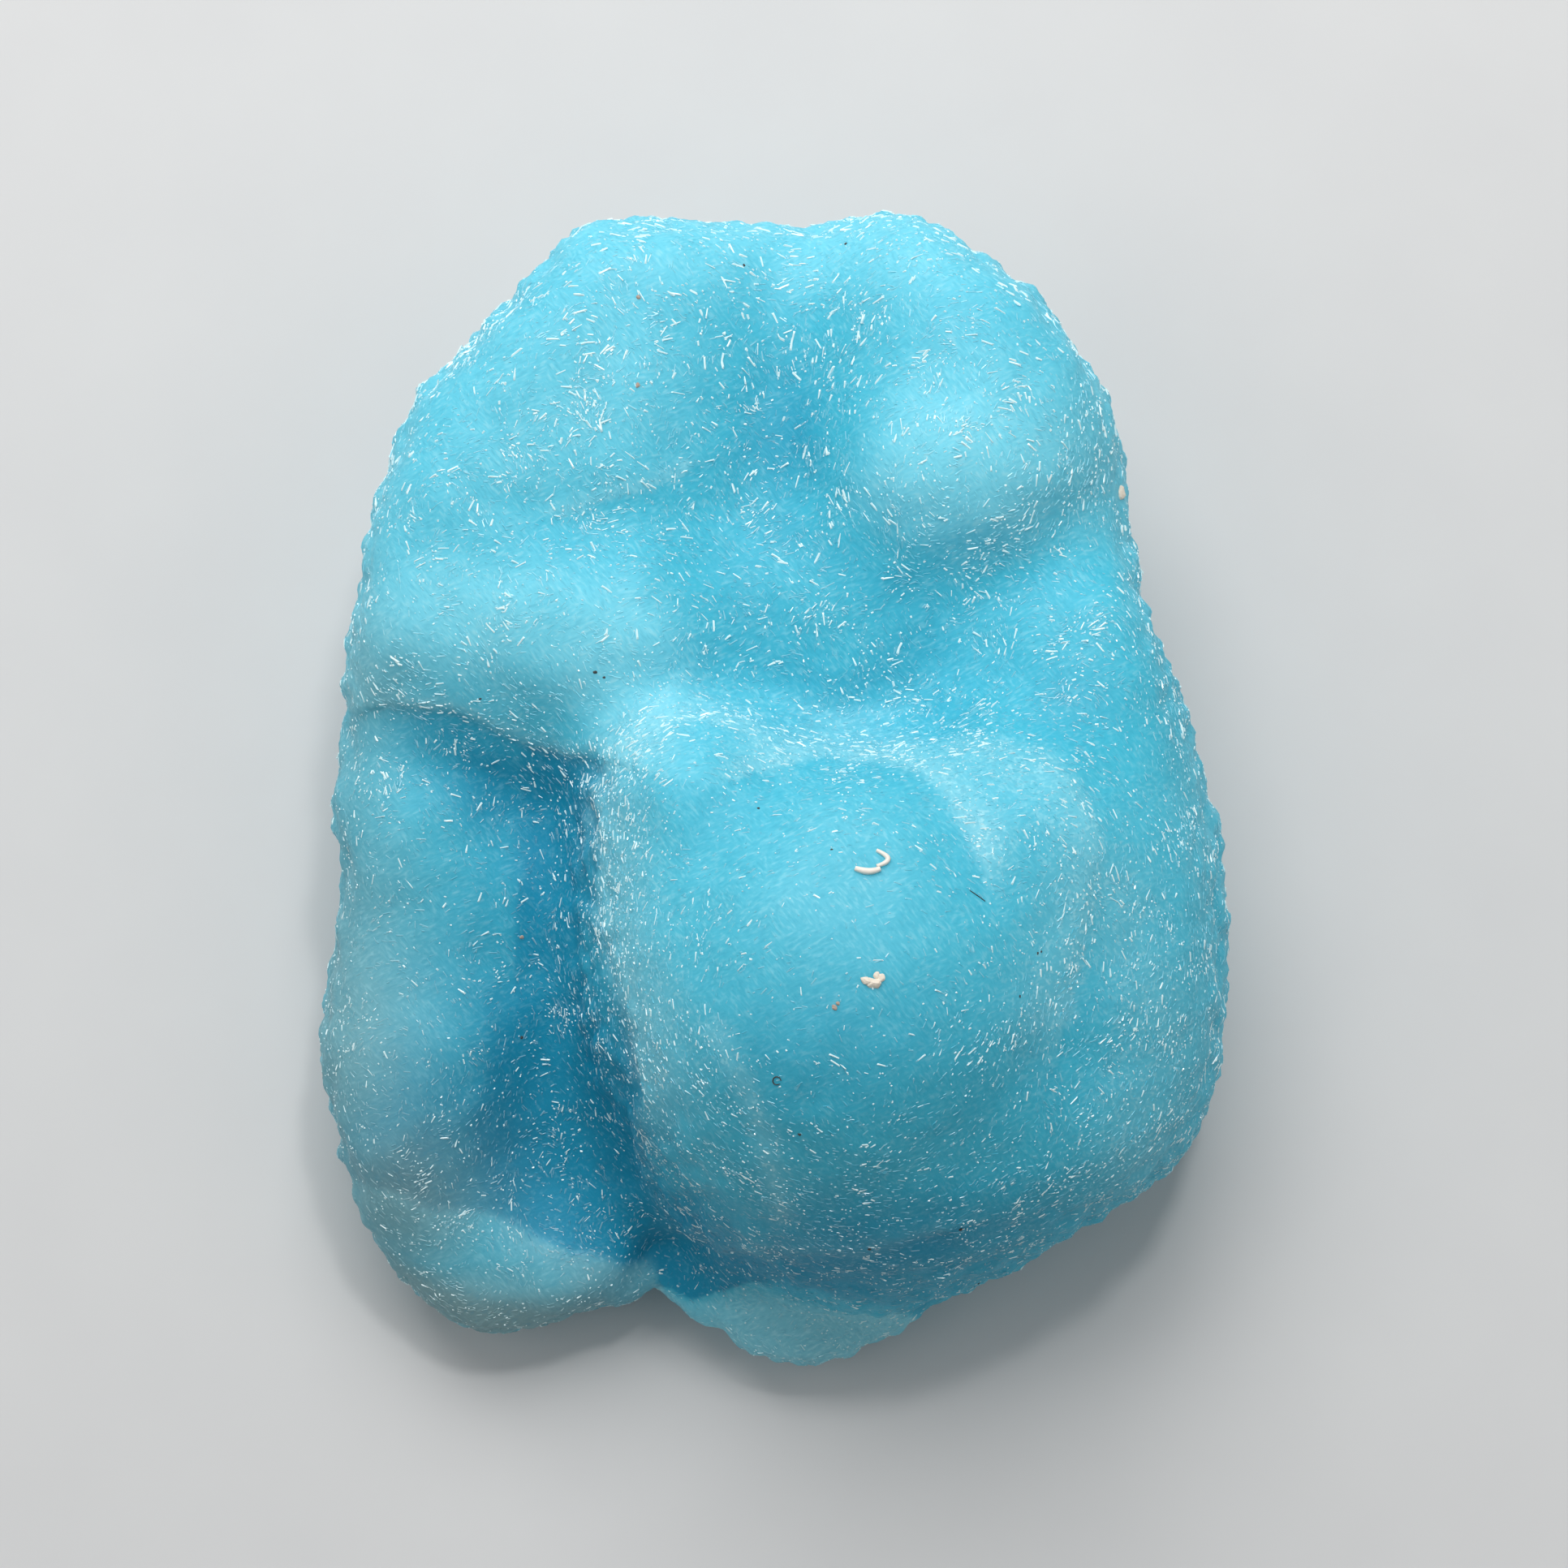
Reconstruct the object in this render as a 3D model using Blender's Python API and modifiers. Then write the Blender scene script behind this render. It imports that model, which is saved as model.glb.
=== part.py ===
"""A cabinet specimen of blue hemimorphite, lying on its back: one solid of grown-together, rounded lobes.

Metres, +Z up. The form is described in the display frame, as a viewer who faces the specimen sees it:
u to the right, v up and w towards the viewer, in millimetres from the middle of the display face.
The solid is then leaned by LEAN about X, set down on its back and cut flat where it rests.
"""

import math

import bmesh
import bpy
import numpy as np
from mathutils import Matrix, Vector

# Driving dimensions.
MM = 0.001
LEAN = math.radians(10.0)
REST_DEPTH = 13.5 * MM
TRIANGLES = 9700
STONE_COLOUR = (0.13, 0.52, 0.69, 1.0)

# How the surface is worked, in metres.
FUSE_VOXEL = 0.8 * MM
EVEN_VOXEL = 0.65 * MM
LUMP_SIZE = 5.0 * MM
LUMP_HEIGHT = 0.5 * MM
RIPPLE_SIZE = 1.8 * MM
RIPPLE_HEIGHT = 0.35 * MM

# The broken rim, in millimetres, clockwise from the upper left corner: (u, v).
RIM = [
    (-9.8, 32.3), (-4.6, 32.2), (0.0, 32.9), (2.4, 32.7), (5.9, 33.0), (7.6, 32.7),
    (9.6, 31.6), (12.4, 29.7), (15.3, 27.6), (16.0, 26.2), (18.1, 23.6), (19.5, 20.9),
    (20.0, 18.0), (20.8, 15.0), (20.8, 10.6), (22.3, 7.4), (22.9, 4.6), (24.1, 1.6),
    (25.4, -2.0), (25.7, -6.0), (25.8, -12.0), (25.0, -17.6), (22.6, -21.6), (17.6, -24.6),
    (13.4, -27.8), (10.4, -29.2), (8.6, -31.2), (5.6, -33.0), (1.8, -34.1), (-2.2, -33.2),
    (-4.4, -30.2), (-5.7, -25.2), (-7.4, -28.2), (-10.4, -30.2), (-16.3, -31.8), (-19.5, -30.7),
    (-22.6, -26.0), (-24.3, -20.4), (-25.6, -16.0), (-25.8, -13.6), (-25.2, -9.4), (-24.0, -5.2),
    (-24.8, -0.8), (-24.2, 4.2), (-24.0, 8.2), (-23.3, 10.2), (-22.7, 15.0), (-21.0, 20.0),
    (-19.6, 22.8), (-17.8, 24.0), (-16.0, 26.4), (-13.2, 28.8), (-11.4, 31.2),
]
RIM_ROUNDING = 3.0
RIM_LEVEL = -3.0
RIM_FLARE_FRONT = 0.018
RIM_FLARE_BACK = 0.08
CRUST_LEVELS = (-9.0, -3.0)
CRUST_ROUNDING = 1.5

# The left lobes meet the rest in a crisp crease above and in a soft slope below.
CREASE_TOP = 2.0
CREASE_RUN = 9.0
CREASE_WIDTH = 0.5
SLOPE_WIDTH = 5.0

# Rounded lobes by group: name, centre (u, v, w), half widths (u, v, w), turn about w in degrees.
UPPER = [
    ("body", (-0.5, 4.0, -9.5), (27.5, 31.5, 10.4), 0),
    ("upper_left_lobe", (-11.6, 18.4, -7.0), (15.0, 12.6, 11.0), 20),
    ("left_bank", (-20.0, 11.0, -6.0), (9.0, 12.5, 9.8), 0),
    ("top_lobe", (-10.0, 27.0, -6.0), (13.0, 9.0, 8.4), 0),
    ("upper_right_lobe", (9.9, 17.6, -3.0), (8.8, 7.6, 9.2), 0),
    ("upper_right_bed", (12.5, 24.0, -6.5), (13.0, 11.5, 11.0), -35),
    ("middle_saddle", (3.0, 8.5, -5.0), (11.0, 8.0, 8.6), 10),
    ("right_shoulder", (18.5, 4.0, -5.0), (11.0, 11.5, 11.2), 12),
    ("back_root", (0.0, -1.0, -10.0), (20.0, 24.0, 10.5), 0),
]
MIDDLE = [
    ("ledge_lobe", (-14.6, 9.6, -2.5), (11.0, 6.0, 6.8), -6),
    ("middle_left_lobe", (-8.8, 8.4, -3.0), (9.2, 8.0, 8.8), -8),
]
BALL = [
    ("big_ball", (4.2, -11.2, -1.0), (14.8, 14.8, 17.4), 0),
    ("ball_ear", (-4.0, -1.2, -1.0), (6.8, 6.6, 11.8), 0),
    ("ball_cheek", (-4.6, -6.6, -1.5), (5.6, 6.4, 12.6), 0),
    ("ball_shoulder", (13.2, -4.6, -1.0), (10.0, 9.6, 12.8), 30),
    ("right_flank", (15.4, -9.6, -4.0), (13.0, 18.0, 13.8), 6),
    ("under_ball", (9.0, -18.0, -4.0), (16.0, 11.6, 14.6), 10),
]
LEFT = [
    ("left_lobe", (-20.4, -1.8, -7.0), (8.6, 10.4, 8.8), 8),
    ("lower_left_lobe", (-20.6, -16.0, -7.5), (8.6, 13.4, 9.4), -8),
    ("corner_lobe", (-14.0, -27.4, -9.0), (11.6, 6.4, 7.8), -14),
]
FOOT = ("foot_lobe", (2.2, -27.4, -9.0), (9.8, 8.4, 6.8), 0)


def ellipsoid(points, centre, half_widths, turn):
    """Distance from each point to an ellipsoid's surface, nearly, and negative inside."""
    angle = math.radians(turn)
    away = points - np.array(centre)
    along = away[:, 0] * math.cos(angle) + away[:, 1] * math.sin(angle)
    across = away[:, 1] * math.cos(angle) - away[:, 0] * math.sin(angle)
    local = np.stack([along, across, away[:, 2]], axis=1)
    reach = np.array(half_widths)
    near = np.linalg.norm(local / reach, axis=1)
    slope = np.linalg.norm(local / reach**2, axis=1)
    return near * (near - 1.0) / np.maximum(slope, 1e-6)


def blend(a, b, width):
    """Both shapes grown together, with a fillet of that width."""
    near = np.maximum(width - np.abs(a - b), 0.0)
    return np.minimum(a, b) - near**2 / (4.0 * width)


def common(a, b, width):
    """What lies in both shapes, with its edge rounded over that width."""
    return -blend(-a, -b, width)


def grown(points, lobes, width):
    """A group of lobes grown together."""
    shapes = [ellipsoid(points, centre, reach, turn) for _name, centre, reach, turn in lobes]
    whole = shapes[0]
    for shape in shapes[1:]:
        whole = blend(whole, shape, width)
    return whole


def rounded(outline):
    """The closed outline with each corner cut back by a quarter of its edges."""
    corners = np.array(outline)
    after = np.roll(corners, -1, axis=0)
    return np.stack([corners * 0.75 + after * 0.25, corners * 0.25 + after * 0.75], axis=1).reshape(-1, 2)


def from_rim(points):
    """Distance from each point to the rim's outline, seen from the front, and negative inside."""
    flat = points[:, :2]
    nearest = np.full(len(flat), 1e9)
    inside = np.zeros(len(flat), bool)
    corners = rounded(RIM)
    for a, end in zip(corners, np.roll(corners, -1, axis=0)):
        edge = end - a
        away = flat - a
        share = np.clip(away @ edge / (edge @ edge), 0.0, 1.0)
        nearest = np.minimum(nearest, np.linalg.norm(away - share[:, None] * edge, axis=1))
        crosses = (a[1] > flat[:, 1]) != (a[1] + edge[1] > flat[:, 1])
        level = edge[0] * away[:, 1] / (edge[1] if edge[1] else 1e-9)
        inside ^= crosses & (away[:, 0] < level)
    return np.where(inside, -nearest, nearest)


def form(points):
    """The whole specimen as a distance, in millimetres, at points in the display frame."""
    rim = from_rim(points)
    w = points[:, 2]
    low, high = CRUST_LEVELS
    deep = np.abs(w - (low + high) / 2) - (high - low) / 2
    crust = common(rim, deep, CRUST_ROUNDING)
    upper = blend(grown(points, UPPER, 4.0), grown(points, MIDDLE, 3.0), 2.2)
    ball = grown(points, BALL, 2.6)
    left = blend(grown(points, LEFT, 4.0), crust, 1.5)
    below = np.clip((CREASE_TOP - points[:, 1]) / CREASE_RUN, 0.0, 1.0)
    width = CREASE_WIDTH + (SLOPE_WIDTH - CREASE_WIDTH) * below**2 * (3.0 - 2.0 * below)
    whole = blend(upper, left, width)
    whole = blend(whole, ball, 2.0)
    whole = blend(whole, grown(points, [FOOT], 1.0), 0.9)
    flare = np.where(w > RIM_LEVEL, RIM_FLARE_FRONT, RIM_FLARE_BACK) * (w - RIM_LEVEL) ** 2
    return common(whole, rim + flare, RIM_ROUNDING)


def settle(points, rounds=14, probe=0.05):
    """Moves each point along the form's slope until it lies on the form's surface."""
    for _round in range(rounds):
        here = form(points)
        slope = np.stack([form(points + step) - here for step in np.eye(3) * probe], axis=1) / probe
        points = points - (here / np.maximum((slope**2).sum(axis=1), 0.2))[:, None] * slope
    return points


def link(name, mesh, collection):
    piece = bpy.data.objects.new(name, mesh)
    collection.objects.link(piece)
    return piece


def evaluated(piece):
    """The piece's mesh with its modifiers applied."""
    bpy.context.view_layer.update()
    return bpy.data.meshes.new_from_object(piece.evaluated_get(bpy.context.evaluated_depsgraph_get()))


def blank_mesh():
    """The lobes as plain ellipsoids, in metres in the display frame, before they are grown together."""
    lumps = bmesh.new()
    for _name, centre, half_widths, turn in UPPER + MIDDLE + BALL + LEFT + [FOOT]:
        place = Matrix.Translation(Vector(centre) * MM)
        place = place @ Matrix.Rotation(math.radians(turn), 4, "Z")
        place = place @ Matrix.Diagonal((*(Vector(half_widths) * MM), 1.0))
        bmesh.ops.create_uvsphere(lumps, u_segments=48, v_segments=24, radius=1.0, matrix=place)
    mesh = bpy.data.meshes.new("blank")
    lumps.to_mesh(mesh)
    lumps.free()
    return mesh


def add_remesh(piece, voxel):
    fuse = piece.modifiers.new("fuse", "REMESH")
    fuse.mode = "VOXEL"
    fuse.voxel_size = voxel


def add_relief(piece, name, size, height):
    """Raises a procedural relief on the piece."""
    pattern = bpy.data.textures.new(name, "CLOUDS")
    pattern.noise_scale = size
    step = piece.modifiers.new(name, "DISPLACE")
    step.texture = pattern
    step.texture_coords = "LOCAL"
    step.strength = height
    step.mid_level = 0.5


def grow_stone(collection):
    """Fuses the lobes, settles the surface on the form, and leans the stone back."""
    blank = link("blank", blank_mesh(), collection)
    add_remesh(blank, FUSE_VOXEL)
    mesh = evaluated(blank)
    bpy.data.objects.remove(blank)
    flat = np.empty(len(mesh.vertices) * 3, np.float32)
    mesh.vertices.foreach_get("co", flat)
    settled = settle(flat.reshape(-1, 3).astype(float) / MM) * MM
    mesh.vertices.foreach_set("co", settled.astype(np.float32).ravel())
    mesh.transform(Matrix.Translation((0.0, 0.0, REST_DEPTH)) @ Matrix.Rotation(LEAN, 4, "X"))
    stone = link("hemimorphite", mesh, collection)
    add_remesh(stone, EVEN_VOXEL)
    add_relief(stone, "lumps", LUMP_SIZE, LUMP_HEIGHT)
    add_relief(stone, "ripples", RIPPLE_SIZE, RIPPLE_HEIGHT)
    return stone


def thin_out(stone):
    """Keeps the form in about TRIANGLES flat facets."""
    shape = evaluated(stone)
    shape.calc_loop_triangles()
    facets = stone.modifiers.new("facets", "DECIMATE")
    facets.ratio = TRIANGLES / len(shape.loop_triangles)
    facets.use_collapse_triangulate = True
    bpy.data.meshes.remove(shape)


def cut_rest(stone, cutters):
    """Cuts the back flat where the specimen rests."""
    block = bmesh.new()
    bmesh.ops.create_cube(block, size=1.0, matrix=Matrix.Diagonal((0.12, 0.12, 0.06, 1.0)))
    mesh = bpy.data.meshes.new("ground")
    block.to_mesh(mesh)
    block.free()
    ground = link("ground", mesh, cutters)
    ground.location.z = -0.03
    ground.hide_render = True
    ground.display_type = "WIRE"
    cut = stone.modifiers.new("rest", "BOOLEAN")
    cut.operation = "DIFFERENCE"
    cut.solver = "EXACT"
    cut.object = ground


def stone_material():
    material = bpy.data.materials.new("hemimorphite")
    material.use_nodes = True
    shader = material.node_tree.nodes["Principled BSDF"]
    shader.inputs["Base Color"].default_value = STONE_COLOUR
    shader.inputs["Roughness"].default_value = 0.45
    shader.inputs["Metallic"].default_value = 0.0
    return material


def main():
    for old in list(bpy.data.objects):
        bpy.data.objects.remove(old)
    specimen = bpy.data.collections.new("hemimorphite")
    cutters = bpy.data.collections.new("cutters")
    for collection in (specimen, cutters):
        bpy.context.scene.collection.children.link(collection)
    stone = grow_stone(specimen)
    thin_out(stone)
    cut_rest(stone, cutters)
    stone.data.materials.append(stone_material())


main()
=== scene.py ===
import math

import bmesh
import bpy
import numpy as np
from mathutils import Matrix, Vector, noise
from mathutils.bvhtree import BVHTree


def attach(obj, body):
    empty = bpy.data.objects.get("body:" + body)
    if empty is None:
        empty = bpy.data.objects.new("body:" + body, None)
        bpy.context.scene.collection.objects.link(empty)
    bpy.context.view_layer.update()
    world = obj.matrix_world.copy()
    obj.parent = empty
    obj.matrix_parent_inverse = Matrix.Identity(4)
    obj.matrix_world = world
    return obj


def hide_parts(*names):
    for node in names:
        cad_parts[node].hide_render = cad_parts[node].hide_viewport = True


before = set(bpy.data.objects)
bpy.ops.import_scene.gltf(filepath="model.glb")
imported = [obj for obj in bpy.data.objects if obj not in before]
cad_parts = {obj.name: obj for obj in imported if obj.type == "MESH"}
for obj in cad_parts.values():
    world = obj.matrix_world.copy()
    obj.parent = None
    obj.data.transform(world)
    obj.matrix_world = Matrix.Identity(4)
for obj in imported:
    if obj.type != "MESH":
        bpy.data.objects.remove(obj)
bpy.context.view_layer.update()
mm = 0.001

# The stone lies on its back, leaned by this much; u, v and w are right, up and out of its display face.
layout = {"lean": math.radians(10), "restDepth": 13.5 * mm}
display = Matrix.Translation((0, 0, layout["restDepth"])) @ Matrix.Rotation(layout["lean"], 4, "X")
upward = np.array(display.to_3x3() @ Vector((0, 1, 0)))
outward = np.array(display.to_3x3() @ Vector((0, 0, 1)))

stage = {
    "floor": 1.2,
    "floorTones": ((0.62, 0.62, 0.62), (0.66, 0.66, 0.655)),
    "aim": (0.74 * mm, 0.25 * mm, 0),
    "distance": 0.243,
    "lens": 100,
    "lamps": {
        "topSoftbox": {"place": (-0.05, 0.30, 0.26), "size": 0.30, "watts": 1.31},
        "spark": {"place": (0.06, 0.20, 0.34), "size": 0.04, "watts": 0.25},
        "leftFill": {"place": (-0.30, 0.02, 0.26), "size": 0.3, "watts": 0.22},
        "rightFill": {"place": (0.30, 0.05, 0.22), "size": 0.3, "watts": 0.16},
    },
    "sky": 0.26,
    "skyTone": (0.9, 0.93, 0.95, 1),
}


# shader maths

class Wire:
    # a socket that sums can be written with
    def __init__(self, finish, socket):
        self.finish = finish
        self.socket = socket

    def sum(self, operation, first, second):
        return self.finish.node("ShaderNodeMath", {"operation": operation}, {0: first, 1: second})

    def __add__(self, other):
        return self.sum("ADD", self, other)

    def __radd__(self, other):
        return self.sum("ADD", other, self)

    def __sub__(self, other):
        return self.sum("SUBTRACT", self, other)

    def __rsub__(self, other):
        return self.sum("SUBTRACT", other, self)

    def __mul__(self, other):
        return self.sum("MULTIPLY", self, other)

    def __rmul__(self, other):
        return self.sum("MULTIPLY", other, self)


class Finish:
    # a material and the nodes that make it
    def __init__(self, name, settings):
        self.material = bpy.data.materials.new(name)
        self.material.use_nodes = True
        self.tree = self.material.node_tree
        self.shader = self.tree.nodes["Principled BSDF"]
        for socket, value in settings.items():
            self.shader.inputs[socket].default_value = value

    def node(self, kind, settings=None, inputs=None, output=0):
        made = self.tree.nodes.new(kind)
        for name, value in (settings or {}).items():
            setattr(made, name, value)
        for name, value in (inputs or {}).items():
            if isinstance(value, Wire):
                self.tree.links.new(value.socket, made.inputs[name])
            else:
                made.inputs[name].default_value = value
        return Wire(self, made.outputs[output])

    def feed(self, socket, wire):
        self.tree.links.new(wire.socket, self.shader.inputs[socket])

    def place(self):
        return self.node("ShaderNodeTexCoord", output="Object")

    def reading(self, name):
        return self.node("ShaderNodeAttribute", {"attribute_name": name}, output="Fac")

    def clouds(self, size, detail=3, rough=0.5, place=None):
        inputs = {"Vector": place or self.place(), "Scale": 1 / size, "Detail": detail, "Roughness": rough}
        return self.node("ShaderNodeTexNoise", inputs=inputs)

    def between(self, value, low, high):
        return self.node("ShaderNodeMapRange", {"interpolation_type": "SMOOTHSTEP"},
                         {"Value": value, "From Min": low, "From Max": high})

    def mixed(self, share, first, second):
        opaque = [(*colour, 1) if isinstance(colour, tuple) else colour for colour in (first, second)]
        inputs = {"Factor": share, 6: opaque[0], 7: opaque[1]}
        return self.node("ShaderNodeMix", {"data_type": "RGBA"}, inputs, output=2)

    def bumped(self, height, strength, distance):
        inputs = {"Height": height, "Strength": strength, "Distance": distance}
        return self.node("ShaderNodeBump", inputs=inputs)


# helpers

def linked(name, mesh):
    piece = bpy.data.objects.new(name, mesh)
    bpy.context.scene.collection.objects.link(piece)
    return piece


def evaluated(piece):
    bpy.context.view_layer.update()
    return bpy.data.meshes.new_from_object(piece.evaluated_get(bpy.context.evaluated_depsgraph_get()))


def readVectors(items, field):
    flat = np.empty(len(items) * 3, np.float32)
    items.foreach_get(field, flat)
    return flat.reshape(-1, 3).astype(float)


def addReading(mesh, name, values):
    mesh.attributes.new(name, "FLOAT", "POINT").data.foreach_set("value", values.astype(np.float32))


def cameraPlace():
    # on the display face's own axes
    return Vector(stage["aim"]) + Vector((0, 0, stage["distance"]))


def asPiece(piece, finish, nodes=()):
    piece.data.materials.clear()
    piece.data.materials.append(finish.material)
    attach(piece, "root")
    if nodes:
        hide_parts(*nodes)


# the stone's skin

skin = {
    "voxel": 0.34 * mm,
    "smoothRounds": 26,
    # lumps, knobs, waves and grains: how wide and how high
    "broadLumps": (5.5 * mm, 0.12 * mm),
    "lumps": (2.0 * mm, 0.06 * mm),
    "knobs": (1.35 * mm, 0.04 * mm),
    "rimKnobs": 0.55 * mm,
    "rimWaves": (1.7 * mm, 0.34 * mm),
    "grains": (0.7 * mm, 0.03 * mm),
    # rays to the sky and into the stone: how many, how far, where they start, how the readings are evened
    "rays": 16,
    "reach": 12 * mm,
    "offSkin": 0.15 * mm,
    "underSkin": 0.2 * mm,
    "openRounds": 14,
    "thickRounds": 30,
    "thickest": 20 * mm,
    "thinRim": (3 * mm, 8 * mm),
    "hollowRounds": 260,
    # how far the skin may be turned to the viewer and still count as the rim's side
    "rimTurn": 0.75,
    "rimBlend": 0.6,
    # how far the drawn edges wander, and where the skin settles to the flat rest
    "wander": (3 * mm, 0.3),
    "settle": (0.2 * mm, 1.5 * mm),
    # creases that are filled for each millimetre of their depth, and the notch that is cut deeper
    "creaseFill": {"leftLedge": 1.0 * mm, "ballWall": 0.6 * mm},
    "creaseDepths": (-0.5, 2.5),
    "creaseReach": 3.2,
    "notch": {"u": -6.4, "half": 2.0, "levels": (24.5, 27.5), "deep": 1.6 * mm},
}

# Edges on the display face as the viewer sees them: (u, v) in millimetres, paler ground on the line's left.
edges = {
    "ballWall": [
        (-7.6, 3.6), (-9.2, 1.6), (-10.0, -1.0), (-9.7, -4.6), (-9.4, -7.5), (-8.9, -10.1), (-7.8, -12.8),
        (-7.5, -16.0),
    ],
    "ballFoot": [
        (-7.5, -16.0), (-7.6, -19.0), (-6.9, -22.2), (-5.5, -24.6), (-2.8, -25.8), (0.9, -25.9), (5.0, -25.9),
        (9.3, -24.9),
    ],
    "earArc": [(-8.6, 1.6), (-7.6, 3.0), (-5.8, 3.8), (-3.9, 3.9), (-2.3, 3.5), (-1.2, 2.9), (-0.5, 1.7)],
    "crownArc": [
        (-0.5, 1.0), (1.4, 1.8), (3.2, 2.2), (6.0, 1.8), (8.3, 0.8), (9.9, -0.6), (11.2, -2.2), (11.6, -3.6),
    ],
    "shoulder": [
        (16.4, -12.5), (17.3, -9.0), (17.6, -6.2), (18.2, -3.2), (17.6, -1.0), (15.5, 1.6), (12.9, 2.4),
        (10.6, 2.6),
    ],
    "leftLedge": [(-21.6, 4.3), (-17.8, 4.3), (-15.5, 3.5), (-12.7, 2.7), (-10.0, 1.9)],
    "upperLedge": [(-11.6, 15.3), (-8.5, 16.2), (-4.6, 17.8)],
    "gutterSide": [(-14.2, -9.0), (-14.1, -6.9), (-13.4, -3.4), (-12.7, 0.0)],
    "cornerEdge": [
        (-6.5, -28.4), (-6.9, -27.5), (-8.8, -26.3), (-11.3, -25.8), (-13.2, -24.9), (-15.3, -23.7),
        (-18.7, -23.6), (-21.5, -22.5),
    ],
    "footEdge": [(8.6, -29.6), (5.5, -28.9), (2.3, -27.9), (-0.9, -27.5), (-3.0, -28.0), (-5.2, -28.8)],
}
# How the ground steps up at an edge: its height in millimetres, reach, and change of tint, partly the layers'
# own tint and partly painted shade on the low side.
ledges = {
    "ballWall": (0.06, 2.6, 0.4),
    "ballFoot": (0.20, 2.6, 0.3),
    "earArc": (0.08, 1.6, 0.25),
    "crownArc": (0.10, 2.0, 0.35),
    "shoulder": (0.14, 2.4, 0.15),
    "leftLedge": (0.36, 3.2, 1.1),
    "upperLedge": (0.10, 1.8, 0.4),
    "gutterSide": (0.0, 2.0, 0.35),
    "cornerEdge": (0.10, 2.4, 0.7),
    "footEdge": (0.0, 2.5, 0.7),
}
# How sharp a step is in the ground and in the tint, and how much further the tint reaches.
stepShape = {"ground": 0.28, "tint": 0.2, "tintReach": 1.4}
# Where crystals crowd along an edge: its frosty width on the left and on the right, and its strength.
frostBands = {
    "ballWall": (2.8, 0.5, 0.55),
    "ballFoot": (0.8, 0.4, 0.15),
    "earArc": (1.3, 0.25, 0.55),
    "crownArc": (1.8, 0.3, 0.6),
    "shoulder": (2.6, 0.6, 0.42),
    "leftLedge": (0.5, 0.2, 0.45),
    "upperLedge": (0.5, 0.2, 0.4),
    "cornerEdge": (1.2, 0.3, 0.15),
}
# Where crystals crowd on both sides of a line, low on the ball and on its flank: half width, strength.
frostLines = {
    "paleVein": ([(-3.2, -13.6), (-1.6, -16.4), (-0.4, -19.4), (0.2, -21.4), (0.5, -23.8)], 0.7, 0.4),
    "rightFlank": ([(19.0, -6.0), (22.0, -14.0), (20.0, -20.0)], 2.4, 0.3),
}
# Soft zones on the display face: (u, v), half widths, turn, strength, and an edge it stays left of.
calmZones = [
    ((3.6, -8.5), (9.0, 9.0), 0, 0.9), ((-18.5, -6.0), (5.0, 9.0), 0, 0.5),
    ((-23.0, 14.0), (2.0, 12.0), 0, 0.5), ((-3.5, -3.0), (4.5, 4.5), 0, 0.5),
]
# Deep zones are partly the stone's deeper tint and partly painted shade in the valleys, the gutters and under
# the ball.
deepAndShadeZones = [
    ((1.6, 19.7), (3.4, 4.4), 0, 0.9), ((-0.9, 25.0), (2.8, 4.2), 10, 0.15),
    ((5.1, 12.4), (7.0, 2.8), -30, 0.8), ((13.5, 11.2), (5.0, 1.8), 8, 0.55),
    ((-1.0, 10.5), (4.5, 3.5), -35, 0.45), ((-12.3, -3.6), (2.2, 9.0), 0, 0.9),
    ((-11.2, -18.4), (5.6, 7.6), 8, 1.15), ((-5.0, -25.6), (5.5, 3.0), -28, 1.1),
    ((6.0, -25.2), (12.0, 3.2), 8, 0.7), ((-16.0, 0.2), (5.6, 3.6), -14, 0.5),
    ((9.6, -16.0), (9.0, 6.0), 20, 0.35), ((-17.6, -10.0), (4.5, 8.0), 0, 0.35),
    ((14.0, -3.5), (4.0, 4.0), 0, 0.3), ((-4.4, 0.6), (3.4, 3.0), 0, 0.25),
    ((17.5, 5.4), (4.5, 4.5), 0, 0.5), ((-20.0, -19.0), (4.5, 6.5), 0, 0.7),
    ((3.0, -14.5), (10.5, 5.5), 0, 0.5),
]
# Pale zones are partly the stone's paler tint and partly painted light on the lobes and on the shaded foot.
paleAndLitZones = [
    ((10.3, 16.8), (7.6, 6.4), 0, 0.85), ((1.0, 30.0), (14.0, 3.2), 0, 0.5),
    ((-11.6, 22.0), (9.0, 7.0), 30, 0.35), ((-9.4, 7.2), (4.8, 3.8), 0, 0.95),
    ((-22.6, 12.5), (2.6, 14.0), -6, 0.2), ((-15.5, 9.6), (6.0, 3.2), 0, 0.75),
    ((2.0, -31.2), (9.5, 4.2), 0, 2.0, "footEdge"), ((1.5, -4.6), (6.0, 4.4), 0, 0.15),
    ((-20.8, -3.0), (3.6, 4.6), 0, 0.2),
]
greenZones = [
    ((3.0, -7.5), (8.0, 8.0), 0, 0.14), ((-16.0, -29.0), (10.0, 5.4), -14, 1.0, "cornerEdge"),
    ((2.0, -31.4), (9.0, 4.6), 0, 0.35, "footEdge"), ((-24.0, -13.5), (5.0, 12.0), 0, 0.7),
    ((-23.6, 2.0), (3.2, 9.0), 0, 0.42), ((-21.0, -23.0), (5.0, 6.0), 30, 0.75),
]
# How fast a zone fades, how it stops at its edge, and how far below the display face it has to lie there.
zoneShape = {"fade": 0.9, "edge": (-0.15, 0.3), "below": (0, 2.2)}
# What counts as facing the viewer: how far the skin is turned that way, and its level in millimetres.
viewerSide = {"turned": (-0.15, 0.25), "level": (-10, -7)}
# Painted shade: the tint deepens towards the stone's foot, where less light falls: the share for each
# millimetre, up to this many.
lowShade = {"share": 0.016, "down": 30}


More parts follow.
